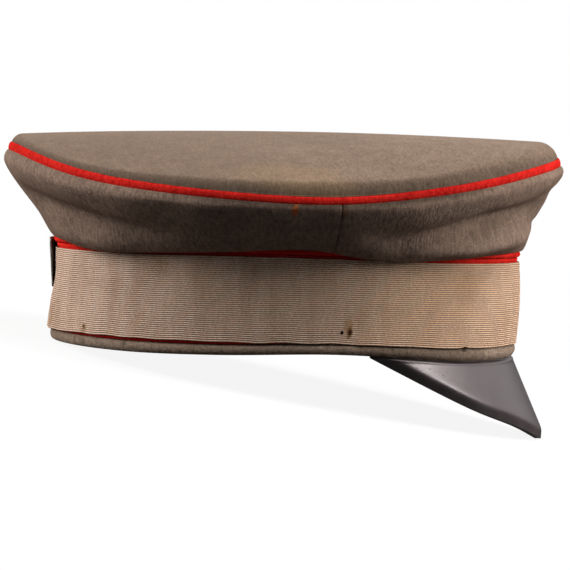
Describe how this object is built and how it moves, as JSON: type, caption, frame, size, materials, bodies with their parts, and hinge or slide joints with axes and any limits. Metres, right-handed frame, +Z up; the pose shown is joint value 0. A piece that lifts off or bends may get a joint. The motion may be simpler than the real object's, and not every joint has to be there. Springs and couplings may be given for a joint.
{
  "type": "visor cap",
  "caption": "Soft field-grey wool peaked cap with a red corded crown edge, a red band under a ribbed cover ribbon, a dark plate clasp at the back and a steep black leather visor",
  "frame": {"origin": "the middle of the cap's box, on the surface it rests on", "axes": "+X forwards through the visor, +Y to the wearer's left, +Z up, with the cap resting on the back of its lower edge and on the tip of its visor"},
  "size_m": [0.2622, 0.2302, 0.13],
  "materials": {
    "grey_cloth": "felted wool, matt, faded brown grey",
    "red_cloth": "felted wool, matt, bright red",
    "ribbed_ribbon": "ribbed cotton, matt, buff grey",
    "black_leather": "polished, with fine cracks",
    "dark_steel": "tarnished, semi-gloss"
  },
  "bodies": {
    "root": {"crown_top": "grey_cloth", "crown_side_front_right": "grey_cloth", "crown_side_front_left": "grey_cloth", "crown_side_rear_right": "grey_cloth", "crown_side_rear_left": "grey_cloth", "crown_piping": "red_cloth", "band_body": "grey_cloth", "red_band": "red_cloth", "band_piping": "red_cloth", "cover_ribbon": "ribbed_ribbon", "band_clasp": "dark_steel", "visor": "black_leather"}
  },
  "joints": []
}
